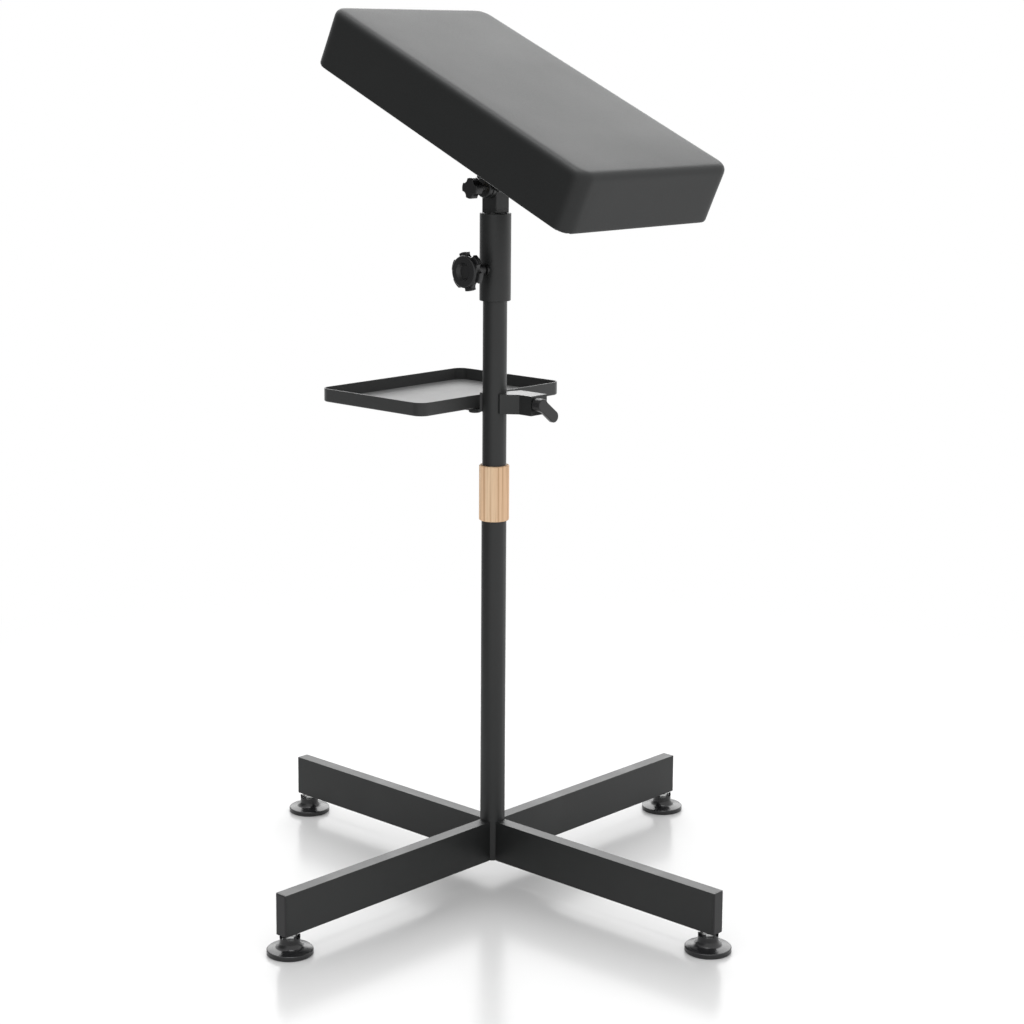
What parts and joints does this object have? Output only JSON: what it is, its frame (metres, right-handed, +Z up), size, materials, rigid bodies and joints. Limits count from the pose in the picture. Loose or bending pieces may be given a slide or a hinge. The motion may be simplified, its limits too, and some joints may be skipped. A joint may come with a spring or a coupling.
{
  "type": "tattoo armrest stand",
  "caption": "Height-adjustable armrest on a cross base: tilting padded top on a telescoping post, star-knob clamps, swivelling instrument tray and levelling feet.",
  "frame": {"origin": "middle of the cross base on the floor, on the post's axis", "axes": "+Z up the post; base arms along X and Y; the armrest's long side and its low end towards +X, its tilt axis along Y"},
  "size_m": [0.6342, 0.6342, 0.9248],
  "materials": {
    "black_steel": "satin black powder coat",
    "bare_steel": "drawn steel, oiled",
    "zinc_plated_steel": "bright zinc plate",
    "black_plastic": "fine moulded texture",
    "foot_plastic": "smooth moulded nylon",
    "brass_fitting": "turned",
    "bare_wood": "sanded, light grain along the sleeve",
    "plywood": "sanded sheet",
    "black_leatherette": "smooth matt leatherette over foam",
    "dust_cloth": "black non-woven cloth"
  },
  "bodies": {
    "stand": {"base_post": "black_steel", "post_plug": "black_plastic", "base_arm_front_right": "black_steel", "base_arm_rear_right": "black_steel", "base_arm_rear_left": "black_steel", "base_arm_front_left": "black_steel", "arm_end_caps": "black_plastic", "foot_inserts": "zinc_plated_steel", "joint_spigot": "bare_steel", "wood_sleeve": "bare_wood", "upper_post": "black_steel", "guide_bush": "black_plastic", "height_collar": "black_steel", "collar_nut": "zinc_plated_steel"},
    "height_knob": {"height_knob": "black_plastic", "height_knob_stud": "zinc_plated_steel"},
    "riser": {"riser_glide_ring": "black_plastic"},
    "head": {"riser_tube": "bare_steel", "riser_plug": "black_plastic", "stub_foot_plate": "black_steel", "square_stub": "black_steel", "stub_cap": "black_plastic", "pivot_sleeve": "bare_steel"},
    "armrest": {"tilt_bracket": "black_steel", "pivot_bolt": "zinc_plated_steel", "pivot_boss": "black_steel", "mounting_plate": "black_steel", "plate_screws": "zinc_plated_steel", "pad_board": "plywood", "dust_cover": "dust_cloth", "cushion": "black_leatherette"},
    "tilt_knob": {"tilt_knob": "black_plastic", "tilt_knob_insert": "brass_fitting"},
    "tray_liner": {"clamp_liner": "black_plastic"},
    "tray_carrier": {"clamp_body": "black_steel", "clamp_shoe": "brass_fitting", "tray": "black_steel", "tray_rivets": "black_steel"},
    "tray_lever": {"lever_screw": "zinc_plated_steel", "clamp_lever": "black_plastic"},
    "foot_front_right": {"foot_pad_front_right": "foot_plastic", "foot_stud_front_right": "zinc_plated_steel", "foot_lock_nut_front_right": "zinc_plated_steel"},
    "foot_rear_right": {"foot_pad_rear_right": "foot_plastic", "foot_stud_rear_right": "zinc_plated_steel", "foot_lock_nut_rear_right": "zinc_plated_steel"},
    "foot_rear_left": {"foot_pad_rear_left": "foot_plastic", "foot_stud_rear_left": "zinc_plated_steel", "foot_lock_nut_rear_left": "zinc_plated_steel"},
    "foot_front_left": {"foot_pad_front_left": "foot_plastic", "foot_stud_front_left": "zinc_plated_steel", "foot_lock_nut_front_left": "zinc_plated_steel"}
  },
  "joints": [
    {"name": "height_slide", "type": "slide", "parent": "stand", "child": "riser", "axis": [0, 0, 1], "range_m": [0, 0.17]},
    {"name": "head_swivel", "type": "hinge", "parent": "riser", "child": "head", "pos_m": [0, 0, 0.6], "axis": [0, 0, 1], "continuous": true},
    {"name": "armrest_tilt", "type": "hinge", "parent": "head", "child": "armrest", "pos_m": [0, 0, 0.7448], "axis": [0, 1, 0], "range_deg": [-74.86, 25.14]},
    {"name": "height_knob_turn", "type": "hinge", "parent": "stand", "child": "height_knob", "pos_m": [0, -0.04, 0.66], "axis": [0, -1, 0], "continuous": true},
    {"name": "tilt_knob_turn", "type": "hinge", "parent": "armrest", "child": "tilt_knob", "pos_m": [0, -0.03, 0.7448], "axis": [0, -1, 0], "continuous": true},
    {"name": "tray_height_slide", "type": "slide", "parent": "stand", "child": "tray_liner", "axis": [0, 0, 1], "range_m": [-0.056, 0.082]},
    {"name": "tray_swivel", "type": "hinge", "parent": "tray_liner", "child": "tray_carrier", "pos_m": [0, 0, 0.52], "axis": [0, 0, 1], "continuous": true},
    {"name": "tray_lever_turn", "type": "hinge", "parent": "tray_carrier", "child": "tray_lever", "pos_m": [0.046, 0.0118, 0.521], "axis": [1, 0, 0], "continuous": true},
    {"name": "foot_turn_front_right", "type": "hinge", "parent": "stand", "child": "foot_front_right", "pos_m": [0.2937, 0, 0.02], "axis": [0, 0, 1], "continuous": true},
    {"name": "foot_turn_rear_right", "type": "hinge", "parent": "stand", "child": "foot_rear_right", "pos_m": [0, 0.2937, 0.02], "axis": [0, 0, 1], "continuous": true},
    {"name": "foot_turn_rear_left", "type": "hinge", "parent": "stand", "child": "foot_rear_left", "pos_m": [-0.2937, 0, 0.02], "axis": [0, 0, 1], "continuous": true},
    {"name": "foot_turn_front_left", "type": "hinge", "parent": "stand", "child": "foot_front_left", "pos_m": [0, -0.2937, 0.02], "axis": [0, 0, 1], "continuous": true}
  ]
}
